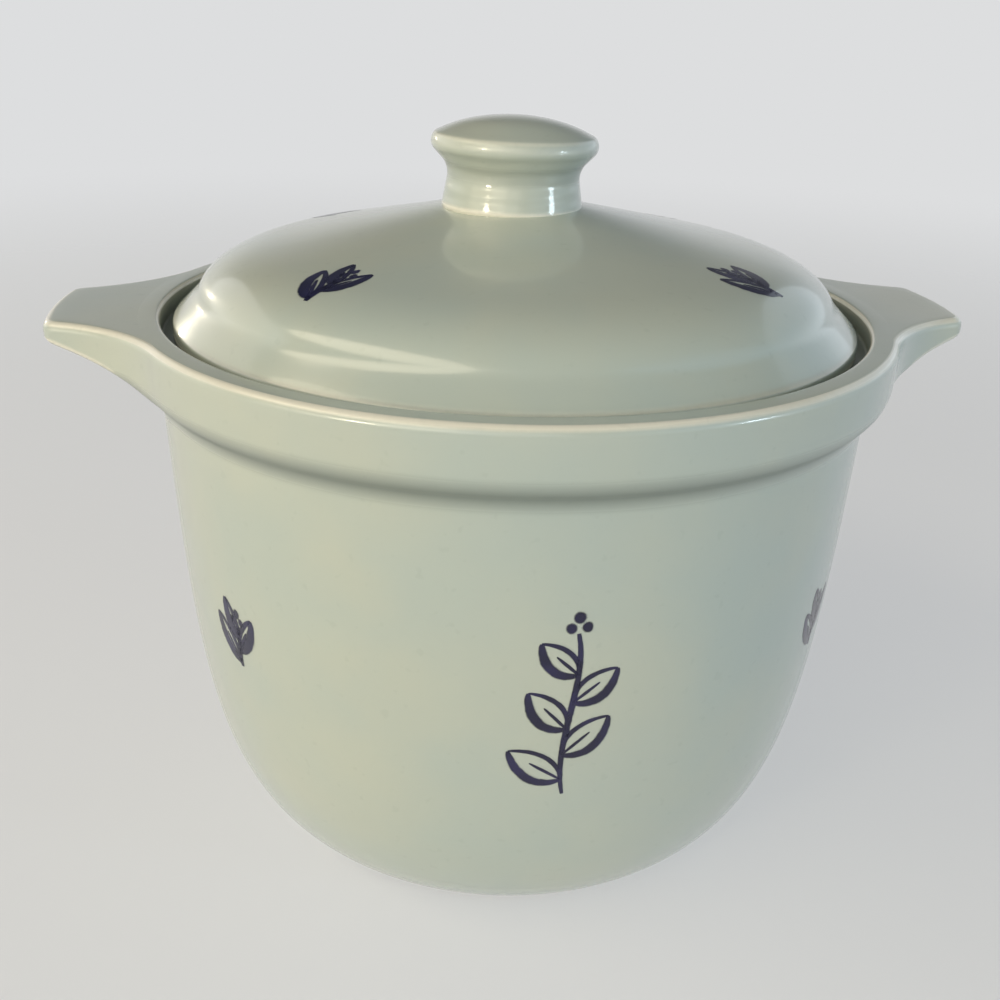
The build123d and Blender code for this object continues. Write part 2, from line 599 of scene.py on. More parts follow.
def wear_and_painted_light(points: np.ndarray) -> tuple[np.ndarray, np.ndarray]:
    """Find where glaze runs thin over edges, with a painted highlight shifted up the outline, and
    where it pools in hollows, with painted shade.

    Args:
        points: A section's points in millimetres, with the solid on the left.

    Returns:
        The thin glaze with its painted highlight, and the pooled glaze with its painted shade, at
        each point, from 0 to 1.
    """
    step = np.diff(points, axis=0)
    length = np.maximum(np.linalg.norm(step, axis=1), NO_LENGTH)
    angle = np.unwrap(np.arctan2(step[:, 1], step[:, 0]))
    turn = np.zeros(len(points))
    turn[1:-1] = np.diff(angle)
    place = np.concatenate(([0.0], np.cumsum(length)))
    apart = place[:, None] - place[None, :]
    worn_and_highlit, pooled_and_shaded = (
        np.maximum(0.0, 1 - np.abs(apart - shift) / WEAR_WINDOW) @ turn for shift in (WEAR_AND_HIGHLIGHT_SHIFT, 0.0)
    )
    return grow(worn_and_highlit, *THIN_AND_HIGHLIGHT_TURN), grow(-pooled_and_shaded, *POOL_AND_SHADE_TURN)


def overhang(points: np.ndarray) -> np.ndarray:
    """Find how far a section faces down, where shade is painted.

    Args:
        points: A section's points in millimetres, with the solid on the left.

    Returns:
        A share at each point, 0 on a wall or a top and 1 on a steep overhang.
    """
    step = np.diff(points, axis=0)
    step /= np.maximum(np.linalg.norm(step, axis=1), NO_LENGTH)[:, None]
    facing = np.concatenate((step[:1, 0], (step[1:, 0] + step[:-1, 0]) / 2, step[-1:, 0]))
    return grow(facing, *OVERHANG_SHADE)


# ---- finishes ---------------------------------------------------------------


# The colour behind the pot, into which the floor fades.
BACKDROP = linear(221, 222, 223)


@dataclass(frozen=True)
class Glaze:
    """A satin celadon glaze over stoneware, with scales in waves for each metre."""

    name: str = "celadon_glaze"
    body: Rgba = linear(178, 190, 184)
    warm: Rgba = linear(187, 194, 182)
    # The thin colour is both thin glaze over edges and a painted highlight along the crown; the deep
    # colour is pooled glaze, specks and painted shade.
    thin: Rgba = linear(236, 233, 219)
    deep_and_shade: Rgba = linear(122, 132, 126)
    clay: Rgba = linear(196, 176, 148)
    cloud_scale: float = 22.0
    grain_scale: float = 900.0
    speck_scale: float = 420.0
    ripple_scale: float = 55.0
    peel_scale: float = 320.0
    peel: float = 0.06
    ring_scale: float = 105.0
    rings: float = 0.0
    edge_and_highlight_cover: float = 0.85
    pool_and_shade_cover: float = 0.8
    speck_cover: float = 0.07
    bare_foot: Point = (1.0, 1.8)
    gloss: float = 0.2
    clay_rough: float = 0.75
    coat: float = 0.55
    bump: float = 0.26
    bump_depth: float = 0.6

    def material(self) -> bpy.types.Material:
        """Build the glaze.

        Returns:
            The material.
        """
        g = Coating(self.name)
        thin, pool = g.carried("thin"), g.carried("pool")
        cloud = g.noise(self.cloud_scale, 3.0)
        grain = g.noise(self.grain_scale, 2.0) - 0.5
        speck = g.noise(self.speck_scale, 1.0).fade(0.66, 0.78)
        # Edges go lighter where the glaze runs thin, and this also paints a highlight along the crown
        # and the lugs' edges.
        edge = (thin * (self.edge_and_highlight_cover + grain * 0.2)).fade(0.15, 0.95)
        height = g.split(g.place)[2] * (1 / MM)
        foot = 1.0 - (height + cloud * 0.8).fade(*self.bare_foot)
        colour = g.mix(cloud.fade(0.3, 0.7), self.body, self.warm)
        colour = g.mix(edge * self.edge_and_highlight_cover, colour, self.thin)
        # Hollows go darker where the glaze pools, and this also paints shade under overhangs, in
        # hollows and in the gallery.
        colour = g.mix(pool * self.pool_and_shade_cover, colour, self.deep_and_shade)
        colour = g.mix(speck * self.speck_cover, colour, self.deep_and_shade)
        colour = g.mix(foot, colour, self.clay)
        gloss = self.gloss + cloud * 0.07 + thin * 0.05 + pool * 0.25
        shader = g.principled(
            {
                "Base Color": colour,
                "Roughness": gloss * (1.0 - foot) + foot * self.clay_rough,
                "Coat Weight": (1.0 - foot) * (self.coat - pool * 0.45),
                "Coat Roughness": 0.07,
                "IOR": 1.5,
                "Normal": self._relief(g),
            }
        )
        return g.finish(shader)

    def _relief(self, g: Coating) -> Wire:
        """Raise the glaze's slow ripple, its fine peel and any throwing rings.

        Args:
            g: The material's nodes.

        Returns:
            The bumped normal.
        """
        height = g.noise(self.ripple_scale, 1.0) + g.noise(self.peel_scale, 2.0) * self.peel
        if self.rings:
            bands = {"wave_type": "BANDS", "bands_direction": "Z"}
            sockets = {"Scale": self.ring_scale, "Distortion": 2.5, "Detail Scale": 0.4}
            ring = g.wire("ShaderNodeTexWave", bands, {"Vector": g.place, **sockets}, "Fac")
            height = height + ring * self.rings
        depth = self.bump_depth * MM
        return g.wire(
            "ShaderNodeBump", None, {"Strength": self.bump, "Distance": depth, "Height": height}
        )


@dataclass(frozen=True)
class Ink:
    """Cobalt brushwork that lies under the same gloss as the glaze."""

    name: str = "cobalt_brushwork"
    full: Rgba = linear(17, 14, 54)
    thinned: Rgba = linear(40, 37, 88)
    streak_scale: float = 620.0
    patch_scale: float = 160.0
    cover: float = 0.96

    def material(self) -> bpy.types.Material:
        """Build the ink.

        Returns:
            The material.
        """
        g = Coating(self.name)
        streak = g.noise(self.streak_scale, 2.0) - 0.5
        patch = g.noise(self.patch_scale, 1.0)
        edge = (g.carried("across") + streak * 0.35).fade(0.62, 1.0)
        shader = g.principled(
            {
                "Base Color": g.mix(patch.fade(0.42, 0.72) * 0.6, self.full, self.thinned),
                "Roughness": 0.16 + patch * 0.06,
                "Coat Weight": 0.3,
                "Coat Roughness": 0.03,
                "Alpha": ((1.0 - edge) * self.cover).clamped(),
            }
        )
        return g.finish(shader)


@dataclass(frozen=True)
class PaleFloor:
    """The floor's matt paint, which keeps a shadow and fades into the backdrop far off."""

    name: str = "pale_floor"
    matt: Rgba = linear(232, 232, 232)
    rough: float = 0.85
    grain_scale: float = 90.0
    grain: float = 0.15
    glow: float = 0.58
    fade: Point = (0.3, 1.2)

    def material(self) -> bpy.types.Material:
        """Build the paint.

        Returns:
            The material.
        """
        g = Coating(self.name)
        reach = g.vector("LENGTH", g.place, output=1)
        tone = g.mix(g.noise(self.grain_scale, 3.0) * self.grain, self.matt, BACKDROP)
        sheet = g.principled({"Base Color": tone, "Roughness": self.rough})
        pale = g.wire("ShaderNodeEmission", None, {0: BACKDROP, 1: 1.0})
        lifted = g.blend(g.looked_at() * self.glow, sheet, pale)
        clear = g.wire("ShaderNodeBsdfTransparent")
        return g.finish(g.blend(reach.fade(*self.fade), lifted, clear))


# ---- turned forms -----------------------------------------------------------


def turned_form(name: str, outline: Outline, finish: bpy.types.Material) -> bpy.types.Object:
    """Turn an outline about the upright axis.

    Args:
        name: The piece's name.
        outline: Its section.
        finish: Its material.

    Returns:
        The piece as a closed mesh.
    """
    inputs = {"Around": AROUND, "Rows": len(outline.points), "Finish": finish}
    tree = ShapeTree(f"{name}_turning", inputs)
    around, rows, section = (tree.given(k) for k in ("Around", "Rows", "Geometry"))
    columns = tree.whole("ADD", around, 1)
    grid = tree.wire("GeometryNodeMeshGrid", None, {"Vertices X": columns, "Vertices Y": rows})
    index = tree.wire("GeometryNodeInputIndex")
    row, column = tree.whole("MODULO", index, rows), tree.whole("DIVIDE_FLOOR", index, rows)
    spot = tree.wire("GeometryNodeInputPosition")
    radius, _, level = tree.split(tree.sample("FLOAT_VECTOR", section, spot, row))
    angle = column / around * math.tau
    shape = tree.moved(grid, tree.combine(radius * angle.cosine(), radius * angle.sine(), level))
    for label in ("thin", "pool"):
        shape = tree.store(shape, label, tree.sample("FLOAT", section, tree.stored(label), row))
    shape = tree.wire("GeometryNodeMergeByDistance", None, {0: shape, "Distance": SEAM * MM})
    tree.finish(tree.smoothed(shape), "Finish")
    made = tree.run(name, outline.mesh(f"{name}_section"))
    face_outwards(made.data)
    return made


def face_outwards(mesh: bpy.types.Mesh) -> None:
    """Turn a closed mesh the right way round if its volume comes out negative.

    Args:
        mesh: The mesh to look at.
    """
    mesh.calc_loop_triangles()
    place = np.zeros(len(mesh.vertices) * 3)
    mesh.vertices.foreach_get("co", place)
    corners = np.zeros(len(mesh.loop_triangles) * 3, int)
    mesh.loop_triangles.foreach_get("vertices", corners)
    a, b, c = place.reshape(-1, 3)[corners.reshape(-1, 3).T]
    if float(np.einsum("ij,ij->i", a, np.cross(b, c)).sum()) < 0:
        mesh.flip_normals()


# ---- pot --------------------------------------------------------------------


@dataclass
class Lug:
    """A flat lug that grows out of the band, in millimetres and degrees, drawn towards +X."""

    finish: bpy.types.Material

    # The rim and the band that it grows out of.
    rim_z: float = 130.0
    crown_r: float = 2.0
    band_top_r: float = 88.84
    band_draft: float = 0.0419
    band_face: float = 12.0
    band_under: Point = (88.32, 117.6)
    band_under_r: float = 7.07

    # Its underside, which bends from a near slope to a far one.
    under_slope: float = 0.84
    bend_r: float = 90.97
    bend_z: float = 120.33
    near_slope: float = 1.127
    far_slope: float = 0.331
    bend_ease: float = 2.69

    # The wall below it.
    wall_r: float = 83.2
    wall_z: float = 113.25
    wall_draft: float = 0.0372
    elbow_gain: float = 2.0

    # Its plan, from the tip to past the root.
    tip_x: float = 107.3
    tip_half_width: float = 16.7
    tip_bow: float = 1.5
    tip_edge_r: float = 2.0
    corner_r: float = 4.5
    neck_r: float = 97.0
    clear_r: float = 100.0
    web_angle: float = 13.0
    root_angle: float = 25.5
    overrun: float = 4.5
    settle: float = 0.2

    # How it is bedded in the body, out of sight.
    lead: float = 3.0
    probe: float = 4.0
    roof_gap: float = 0.012
    roof_dip: float = 0.25
    wall_gap: float = 0.12
    sink: float = 0.3
    bed_r: float = 84.2
    base_z: float = 104.0
    core: tuple[Point, ...] = ((82.9, 117.0), (81.6, 112.0), (81.6, 104.0))

    # How finely its plan and its sections are drawn.
    tip_points: int = 12
    corner_points: int = 14
    flank_points: int = 44
    root_points: int = 12
    elbow_steps: int = 11
    edge_steps: int = 12
    brow_steps: int = 10
    ramp_points: int = 17
    side_points: int = 6
    roof_points: int = 10

    def flank(self) -> tuple[np.ndarray, float]:
        """The arc that leaves the band smoothly and ends at the tip's corner.

        Returns:
            Its centre and radius.
        """
        root = math.radians(self.root_angle)
        outward = np.array((math.cos(root), math.sin(root)))
        start = self.band_top_r * outward
        chord = np.array((self.tip_x - self.tip_bow, self.tip_half_width)) - start
        radius = float(chord @ chord) / (2 * float(chord @ outward))
        return start + outward * radius, radius

    def plan(self) -> list[tuple[np.ndarray, np.ndarray]]:
        """Half of the lug's plan at the rim, from the middle of its tip to past its root.

        Returns:
            Points and the outward directions at them.
        """
        hollow, hollow_r = self.flank()
        bow_r = (self.tip_half_width**2 + self.tip_bow**2) / (2 * self.tip_bow)
        bow = np.array((self.tip_x - bow_r, 0.0))
        near, far = bow_r - self.corner_r, hollow_r + self.corner_r
        apart = float(np.linalg.norm(hollow - bow))
        along = (apart**2 + near**2 - far**2) / (2 * apart)
        axis = (hollow - bow) / apart
        off = math.sqrt(near**2 - along**2)
        corner = bow + axis * along + off * np.array((axis[1], -axis[0]))
        first = math.atan2(*(corner - bow)[::-1])
        last = math.atan2(*(hollow - corner)[::-1])
        begin = math.atan2(*(corner - hollow)[::-1])
        root = math.radians(self.root_angle)
        sweep = (root + math.pi - begin + math.pi) % math.tau - math.pi
        round_tip = np.linspace(0, first, self.tip_points)
        round_corner = np.linspace(first, last, self.corner_points)[1:]
        turns = begin + sweep * np.linspace(0, 1, self.flank_points)[1:]
        past = root + math.radians(self.overrun) * np.linspace(0, 1, self.root_points)[1:]
        out = [self._spot(bow, bow_r, a, 1) for a in round_tip]
        out += [self._spot(corner, self.corner_r, a, 1) for a in round_corner]
        out += [self._spot(hollow, hollow_r, a, -1) for a in turns]
        return out + [self._spot(np.zeros(2), self.band_top_r, a, 1) for a in past]

    @staticmethod
    def _spot(
        centre: np.ndarray, radius: float, angle: float, side: int
    ) -> tuple[np.ndarray, np.ndarray]:
        """A point on an arc of the plan with its outward direction."""
        ray = np.array((math.cos(angle), math.sin(angle)))
        return centre + ray * radius, ray * side

    def wall_at(self, level: float) -> float:
        """The radius of the pot's wall at a height just under the band."""
        return self.wall_r - (self.wall_z - level) * self.wall_draft

    def underside(self, radius: float, angle: float) -> float:
        """The height of the lug's underside, where two slopes ease into one another.

        Args:
            radius: The distance from the pot's axis.
            angle: The angle from the lug's middle, in degrees.

        Returns:
            The height in millimetres.
        """
        reach = radius - self.bend_r
        steep, gentle = reach * self.near_slope, reach * self.far_slope
        middle = self.bend_z + (steep + gentle - math.hypot(steep - gentle, self.bend_ease)) / 2
        band = self.band_under[1] + (radius - self.band_under[0]) * self.under_slope
        return middle + (band - middle) * smooth(abs(angle), self.web_angle, self.root_angle)

    def section(self, point: np.ndarray, normal: np.ndarray) -> tuple[np.ndarray, np.ndarray]:
        """One section of the lug, from the wall under it round its edge to its flat top.

        Args:
            point: A point of the plan.
            normal: The outward direction there.

        Returns:
            The section's points, and the same points as depth and height.
        """
        angle = math.degrees(math.atan2(point[1], point[0]))
        past = smooth(abs(angle), self.root_angle - self.settle, self.root_angle + self.overrun)
        shoulder = point - normal * self.lead
        shoulder_r = float(np.hypot(*shoulder))

        def plan_at(depth: float) -> np.ndarray:
            """The place in plan at a depth behind the edge."""
            inner = shoulder * ((shoulder_r + depth + self.lead) / shoulder_r)
            return point + normal * depth if depth > -self.lead else inner

        def level_at(depth: float) -> float:
            """The underside's height at a depth behind the edge."""
            return self.underside(float(np.hypot(*plan_at(depth))), angle)

        def depth_of(radius: float) -> float:
            """The depth behind the edge of a distance from the pot's axis."""
            return radius - shoulder_r - self.lead

        top = self.rim_z - self.roof_gap - self.roof_dip * past
        low = level_at(-self.band_draft * self.band_face)
        edge = np.array((-self.band_draft * (top - low), low))
        brow, behind_brow = np.array((0.0, top)), np.array((-self.lead * 3, top))
        root_z = self.underside(self.wall_r, angle)
        base = np.array((depth_of(self.wall_at(self.base_z)) - self.wall_gap, self.base_z))
        elbow = np.array((depth_of(self.wall_at(root_z)), root_z))
        ahead = np.array((elbow[0] + self.probe, level_at(elbow[0] + self.probe)))
        behind = np.array((edge[0] - self.probe, level_at(edge[0] - self.probe)))
        web = 1 - smooth(abs(angle), self.web_angle, self.root_angle)
        out = smooth(smooth(float(np.hypot(*point)), self.band_top_r, self.neck_r), 0.0, 0.75)
        edge_r = self.band_under_r + (self.tip_edge_r - self.band_under_r) * out
        elbow_r = self.band_under_r + self.elbow_gain * web
        under = corner_arc(base, elbow, ahead, elbow_r, self.elbow_steps)
        lower = corner_arc(behind, edge, brow, edge_r, self.edge_steps)
        upper = corner_arc(edge, brow, behind_brow, self.crown_r, self.brow_steps)
        shares = np.linspace(0, 1, self.ramp_points)[1:-1]
        depths = under[-1][0] + (lower[0][0] - under[-1][0]) * shares
        starts, ends = (p[1] - level_at(p[0]) for p in (under[-1], lower[0]))
        gaps = starts + (ends - starts) * shares
        ramp = [(depth, level_at(depth) + gap) for depth, gap in zip(depths, gaps)]
        side = np.linspace(lower[-1], upper[0], self.side_points)[1:-1]
        inner_end = depth_of(self.bed_r)
        roof = [(depth, top) for depth in np.linspace(upper[-1][0], inner_end, self.roof_points)[1:]]
        flat = np.vstack((base[None, :], under, ramp, lower, side, upper, roof))
        space = np.array([(*plan_at(depth - self.sink * past), z) for depth, z in flat])
        return space, flat

    def build(self, name: str, node: str, side: int) -> bpy.types.Object:
        """Loft the lug through its sections.

        Args:
            name: The piece's name.
            node: The CAD node it stands for.
            side: 1 for the lug towards +X, -1 for the other.

        Returns:
            The finished lug.
        """
        half = self.plan()
        whole = [(p * (1, -1), n * (1, -1)) for p, n in half[:0:-1]] + half
        hidden = np.zeros(len(self.core))
        rings, thin, pool = [], [], []
        for point, normal in whole:
            space, flat = self.section(point, normal)
            reach = float(np.hypot(*point))
            # Each section's thin glaze with a painted highlight, and its pooled glaze with painted
            # shade.
            worn_and_highlit, pooled_and_shaded = wear_and_painted_light(flat)
            near = 1 - smooth(reach, self.band_top_r, self.clear_r)
            rings += [space, [(*(point / reach * r), z) for r, z in self.core]]
            thin += [worn_and_highlit, hidden]
            # Painted shade under the lug near its root, where it faces down.
            pool += [np.maximum(pooled_and_shaded, overhang(flat) * near), hidden]
        verts = np.vstack(rings) * (side * MM, MM, MM)
        size = len(verts) // len(whole)
        faces = [
            (i + j, i + k, i + size + k, i + size + j)
            for i in range(0, len(verts) - size, size)
            for j, k in neighbours(size)
        ]
        faces += [tuple(range(size))[::-1], tuple(range(len(verts) - size, len(verts)))]
        mesh = bpy.data.meshes.new(name)
        mesh.from_pydata(verts.tolist(), [], faces)
        carry(mesh, thin=np.concatenate(thin), pool=np.concatenate(pool))
        mesh.shade_smooth()
        mesh.materials.append(self.finish)
        face_outwards(mesh)
        made = link_object(name, mesh)
        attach(made, "pot")
        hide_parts(node)
        return made


@dataclass
class Pot:
    """The pot: its turned body and the two lugs on its band, in millimetres."""

    finish: bpy.types.Material
    rim_z: float = 130.0
    foot_r: float = 55.06
    foot_width: float = 6.0
    recess_z: float = 2.0
    neck: Point = (82.93, 106.0)
    gallery_r: float = 82.3
    ledge_r: float = 76.6
    ledge_z: float = 125.0
    throat_z: float = 118.0
    floor_r: float = 44.0
    floor_z: float = 8.0
    # How far under the ledge, and how far under the rim, the gallery's painted shade reaches.
    recess_shade_below: float = 4.0
    recess_shade_from: float = 1.0
    slack: float = 0.05
    crown: float = 0.01

    def outline(self, lug: Lug) -> Outline:
        """The body's section, from the middle of its foot round to the floor inside.

        Args:
            lug: A lug, which has the band's sizes.

        Returns:
            The section.
        """
        ring_r = self.foot_r - self.foot_width
        return Outline(
            Corner(0, self.recess_z),
            Corner(ring_r - 1.0, self.recess_z, 0.5),
            Corner(ring_r, 0.0, 0.6),
            Corner(self.foot_r, 0.0, 0.9),
            Curve((76.57, 10.98), (79.86, 41.5)),
            Corner(*self.neck),
            Corner(lug.wall_r, lug.wall_z, lug.band_under_r),
            Corner(*lug.band_under, lug.band_under_r),
            Corner(lug.band_top_r, self.rim_z, lug.crown_r),
            Corner(self.gallery_r, self.rim_z, 1.2),
            Corner(self.gallery_r, self.ledge_z, 0.7),
            Corner(self.ledge_r, self.ledge_z, 0.8),
            Corner(self.ledge_r, self.throat_z, 3.0),
            Curve((75.4, 43.0), (73.0, self.floor_z)),
            Corner(self.floor_r, self.floor_z),
            Corner(0, self.floor_z),
        )

    def build(self) -> list[bpy.types.Object]:
        """Build every piece of the pot.

        Returns:
            The body and the two lugs.
        """
        lug = Lug(self.finish)
        outline = self.outline(lug)
        # Painted shade on the band's underside, where it faces down.
        outline.shade_overhangs(lug.base_z)
        # Painted shade in the gallery and on the ledge under the lid.
        low, high = self.ledge_z - self.recess_shade_below, self.rim_z - self.recess_shade_from
        outline.shade_recess(self.gallery_r + self.slack, low, high)
        # The rim's flat top keeps neither thin glaze nor painted highlight.
        outline.cover(self.rim_z - self.crown)
        body = turned_form("glazed_body", outline, self.finish)
        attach(body, "pot")
        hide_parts("pot_body")
        return [
            body,
            lug.build("glazed_lug_right", "handle_right", 1),
            lug.build("glazed_lug_left", "handle_left", -1),
        ]


# ---- lid --------------------------------------------------------------------


@dataclass
class Lid:
    """The lid and the knob on it, in millimetres and degrees."""

    finish: bpy.types.Material
    seat_z: float = 125.0
    lip_r: float = 79.6
    lip_z: float = 128.5
    flange_r: float = 75.0
    flange_z: float = 119.5
    inner_r: float = 70.0
    apex_z: float = 156.455
    thickness: float = 5.2
    dome_slope: float = 0.215
    knob_x: float = -1.55
    knob_z: float = 152.972
    knob_lean: float = 1.1
    knob_height: float = 20.0
    knob_bed: float = -1.2
    knob_rings: float = 0.9

    def dome(self, radius: float, depth: float = 0.0) -> Corner:
        """A point of the dome at a radius, and at a depth under its outside."""
        return Corner(radius, self.apex_z - depth - radius * self.dome_slope)

    def outline(self) -> Outline:
        """The lid's section, from its middle inside round to the top of its dome.

        Returns:
            The section.
        """
        return Outline(
            self.dome(0, self.thickness),
            self.dome(50.0, self.thickness),
            Curve((63.3, 137.6), (self.inner_r, 133.2)),
            Corner(self.inner_r, 127.5),
            Corner(self.inner_r, self.flange_z, 1.5),
            Corner(self.flange_r, self.flange_z, 1.5),
            Corner(self.flange_r, self.seat_z, 0.5),
            Corner(self.lip_r, self.seat_z, 1.2),
            Corner(self.lip_r, self.lip_z, 1.1),
            Corner(73.97, 134.13, 8.0),
            Corner(73.3, 135.5),
            Curve((71.1, 140.0), (63.84, 142.73)),
            self.dome(57.0),
            self.dome(20.0),
            self.dome(0),
        )

    def knob_outline(self) -> Outline:
        """The knob's section on its own axis, from its bed up to its crown.

        Returns:
            The section.
        """
        return Outline(
            Corner(0, self.knob_bed),
            Corner(16.0, self.knob_bed),
            Corner(16.3, 0.1, 0.7),
            Curve((15.9, 2.9), (15.25, 5.5)),
            Corner(15.0, 8.6, 5.0),
            Corner(20.55, 14.4, 2.6),
            Curve((15.2, 18.3), (7.47, self.knob_height)),
            Corner(0, self.knob_height),
        )

    def build(self) -> list[bpy.types.Object]:
        """Build the lid and its knob.

        Returns:
            The pieces.
        """
        cover = turned_form("glazed_lid", self.outline(), self.finish)
        thrown = Glaze(name="celadon_glaze_knob", rings=self.knob_rings).material()
        knob = turned_form("glazed_knob", self.knob_outline(), thrown)
        lean = Matrix.Rotation(math.radians(self.knob_lean), 4, "Y")
        seat = Matrix.Translation((self.knob_x * MM, 0, self.knob_z * MM))
        knob.data.transform(seat @ lean)
        for made, node in ((cover, "lid"), (knob, "knob")):
            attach(made, "lid")
            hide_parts(node)
        return [cover, knob]


# ---- brushwork --------------------------------------------------------------


# Where the brush reaches for its ground from, beside the pot and above it, in metres.
BESIDE, ABOVE = 0.2, 0.3

# How far the ink lies over the glaze, in millimetres.
INK_LIFT = 0.04

# The points along a stroke, across the brush and round a berry.
STROKE_POINTS, NIB_POINTS, BERRY_POINTS = 22, 7, 20

# A stem's two handles and its tip, in sways across and heights up.
STEM = ((-1.6, 0.35), (1.8, 0.7), (0.4, 1.0))

# Each line of a leaf: how far out its two handles stand, its length and its weight.
LEAF_LINES = ((-1.0, -0.55, 1.0, 1.35), (1.0, 0.75, 1.0, 0.74), (0.06, 0.1, 0.6, 0.5))

# Each berry: its place across and up from the stem's tip, in berries, and its size.
BERRIES = ((-1.15, 0.9, 1.0), (1.25, 1.1, 0.95), (0.05, 2.7, 1.1))


class Face(Enum):
    """The surface that a motif is painted on."""

    WALL = "wall"
    DOME = "dome"


@dataclass
class Sprig:
    """A painted sprig: a stem with leaves to each side and berries at its tip."""

    name: str
    face: Face
    azimuth: float
    level: float
    ground: bpy.types.Object
    ink: bpy.types.Material
    body: str
    height: float = 40.0
    leaves: int = 5
    leaf_length: float = 14.0
    leaf_width: float = 5.4
    line: float = 0.92
    sway: float = 2.0
    spread: float = 0.86
    berry: float = 1.3
    lowest: float = 0.1
    run: float = 0.82
    taper: float = 0.32
    jitter: float = 0.09
    wall_r: float = 79.0
    seed: int = 3

    def build(self) -> bpy.types.Object:
        """Paint the sprig.

        Returns:
            The brushwork as a thin mesh just over the glaze.
        """
        inputs = {
            "Ground": self.ground,
            "Ink": self.ink,
            "Height": self.height * MM,
            "Leaves": self.leaves,
            "Leaf length": self.leaf_length * MM,
            "Leaf width": self.leaf_width * MM,
            "Line": self.line * MM,
            "Sway": self.sway * MM,
            "Spread": self.spread,
            "Berry": self.berry * MM,
            "Seed": self.seed,
        }
        tree = ShapeTree(f"{self.name}_brush", inputs)
        tree.finish(self._wrap(tree, self._drawing(tree)), "Ink")
        made = tree.run(self.name)
        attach(made, self.body)
        return made

    def _stroke(self, tree: ShapeTree, curve: Wire, weight: Wire, blunt: float) -> Wire:
        """Give a line the swell of a brush.

        Args:
            tree: The tree being built.
            curve: The line to paint.
            weight: Half of the line's width at its fullest.
            blunt: How full the two ends are, from 0 to 1.

        Returns:
            The line with its weight at each point.
        """
        fine = tree.wire("GeometryNodeResampleCurve", None, {0: curve, "Count": STROKE_POINTS})
        swell = (tree.wire("GeometryNodeSplineParameter") * math.pi).sine() ** 0.6
        return tree.store(fine, "weight", weight * (blunt + swell * (1.0 - blunt)))

    def _leaf(self, tree: ShapeTree) -> Wire:
        """Draw one leaf: a fine edge, a full edge and a short rib.

        Args:
            tree: The tree being built.

        Returns:
            The leaf's lines, growing along +X from the stem.
        """
        length, width, line = (tree.given(k) for k in ("Leaf length", "Leaf width", "Line"))
        lines = []
        for low, high, tip, weight in LEAF_LINES:
            first = tree.combine(length * (0.28 * tip), width * low)
            second = tree.combine(length * (0.74 * tip), width * high)
            end = tree.combine(length * tip, width * (0.22 * tip))
            lines.append(self._stroke(tree, tree.line(first, second, end), line * weight, 0.35))
        return tree.join(lines)

    def _drawing(self, tree: ShapeTree) -> Wire:
        """Draw the whole sprig on a flat sheet.

        Args:
            tree: The tree being built.

        Returns:
            The drawing as flat ribbons, with x across and y up.
        """
        height, sway, line = (tree.given(k) for k in ("Height", "Sway", "Line"))
        first, second, top = (tree.combine(sway * x, height * y) for x, y in STEM)
        stem = tree.line(first, second, top)
        painted = self._stroke(tree, stem, line * 0.9, 0.55)
        lines = tree.join([painted, self._foliage(tree, stem)])
        lines = tree.wire("GeometryNodeSetCurveNormal", {"mode": "Z_UP"}, {0: lines})
        sockets = {0: lines, "Profile Curve": self._nib(tree), "Scale": tree.stored("weight")}
        ribbons = tree.wire("GeometryNodeCurveToMesh", None, sockets)
        return tree.join([ribbons, self._berries(tree, top)])

    def _foliage(self, tree: ShapeTree, stem: Wire) -> Wire:
        """Set leaves along a stem, to each side in turn and smaller towards its tip.

        Args:
            tree: The tree being built.
            stem: The stem's curve.

        Returns:
            The leaves' lines.
        """
        leaves, index = tree.given("Leaves"), tree.wire("GeometryNodeInputIndex")
        factor = index / leaves * self.run + self.lowest
        along = {"Curves": stem, "Factor": factor}
        sampled = tree.node("GeometryNodeSampleCurve", {"mode": "FACTOR"}, along)
        spot, heading = (Wire(tree, sampled.outputs[k]) for k in ("Position", "Tangent"))
        joints = tree.moved(tree.wire("GeometryNodeMeshLine", None, {"Count": leaves}), spot)
        hand = 1.0 - tree.whole("MODULO", index, 2) * 2.0
        x, y, _ = tree.split(heading)
        sockets = {2: -self.jitter, 3: self.jitter, "ID": index, "Seed": tree.given("Seed")}
        jitter = tree.wire("FunctionNodeRandomValue", {"data_type": "FLOAT"}, sockets, 1)
        turn = tree.maths("ARCTAN2", y, x) + hand * tree.given("Spread") + jitter
        size = 1.0 - factor * self.taper
        sockets = {
            "Points": joints,
            "Instance": self._leaf(tree),
            "Rotation": tree.combine(z=turn),
            "Scale": tree.combine(size, size * hand * -1.0, 1.0),
        }
        return tree.realized(tree.wire("GeometryNodeInstanceOnPoints", None, sockets))

    def _nib(self, tree: ShapeTree) -> Wire:
        """The brush's edge, which knows how far each point is from the middle of a line.

        Args:
            tree: The tree being built.

        Returns:
            A short line to draw along every stroke.
        """
        ends = {"Start": (-1.0, 0, 0), "End": (1.0, 0, 0)}
        nib = tree.wire("GeometryNodeCurvePrimitiveLine", None, ends)
        nib = tree.wire("GeometryNodeResampleCurve", None, {0: nib, "Count": NIB_POINTS})
        return tree.store(nib, "across", abs(tree.wire("GeometryNodeSplineParameter") * 2.0 - 1.0))

